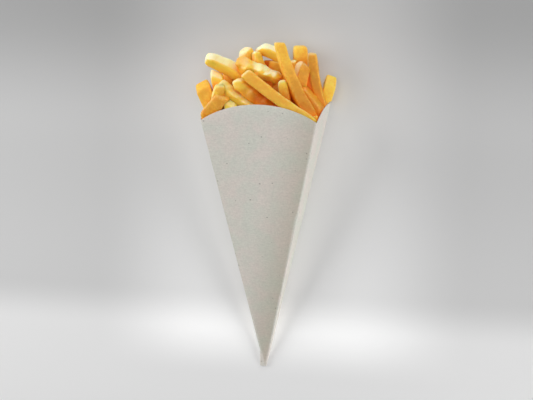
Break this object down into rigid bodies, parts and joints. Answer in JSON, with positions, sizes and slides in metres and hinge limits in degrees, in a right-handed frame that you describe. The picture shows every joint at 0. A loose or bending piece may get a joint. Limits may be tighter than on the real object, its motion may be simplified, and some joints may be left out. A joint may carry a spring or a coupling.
{
  "type": "cone of fries",
  "caption": "Slim four-sided card cone with an arched mouth, lying on its back panel and filled with a loose heap of fries that stand out of the mouth.",
  "frame": {"origin": "under the middle of the whole, on the surface that the cone lies on", "axes": "+Y along the back panel from the blunt tip to the mouth, +Z out of the front panel's side, up, +X to the right seen from the front panel with the mouth at the top"},
  "size_m": [0.121, 0.2848, 0.0609],
  "materials": {
    "card": "matte",
    "fries": "satin"
  },
  "bodies": {
    "root": {"card_cone": "card", "fries": "fries"}
  },
  "joints": []
}
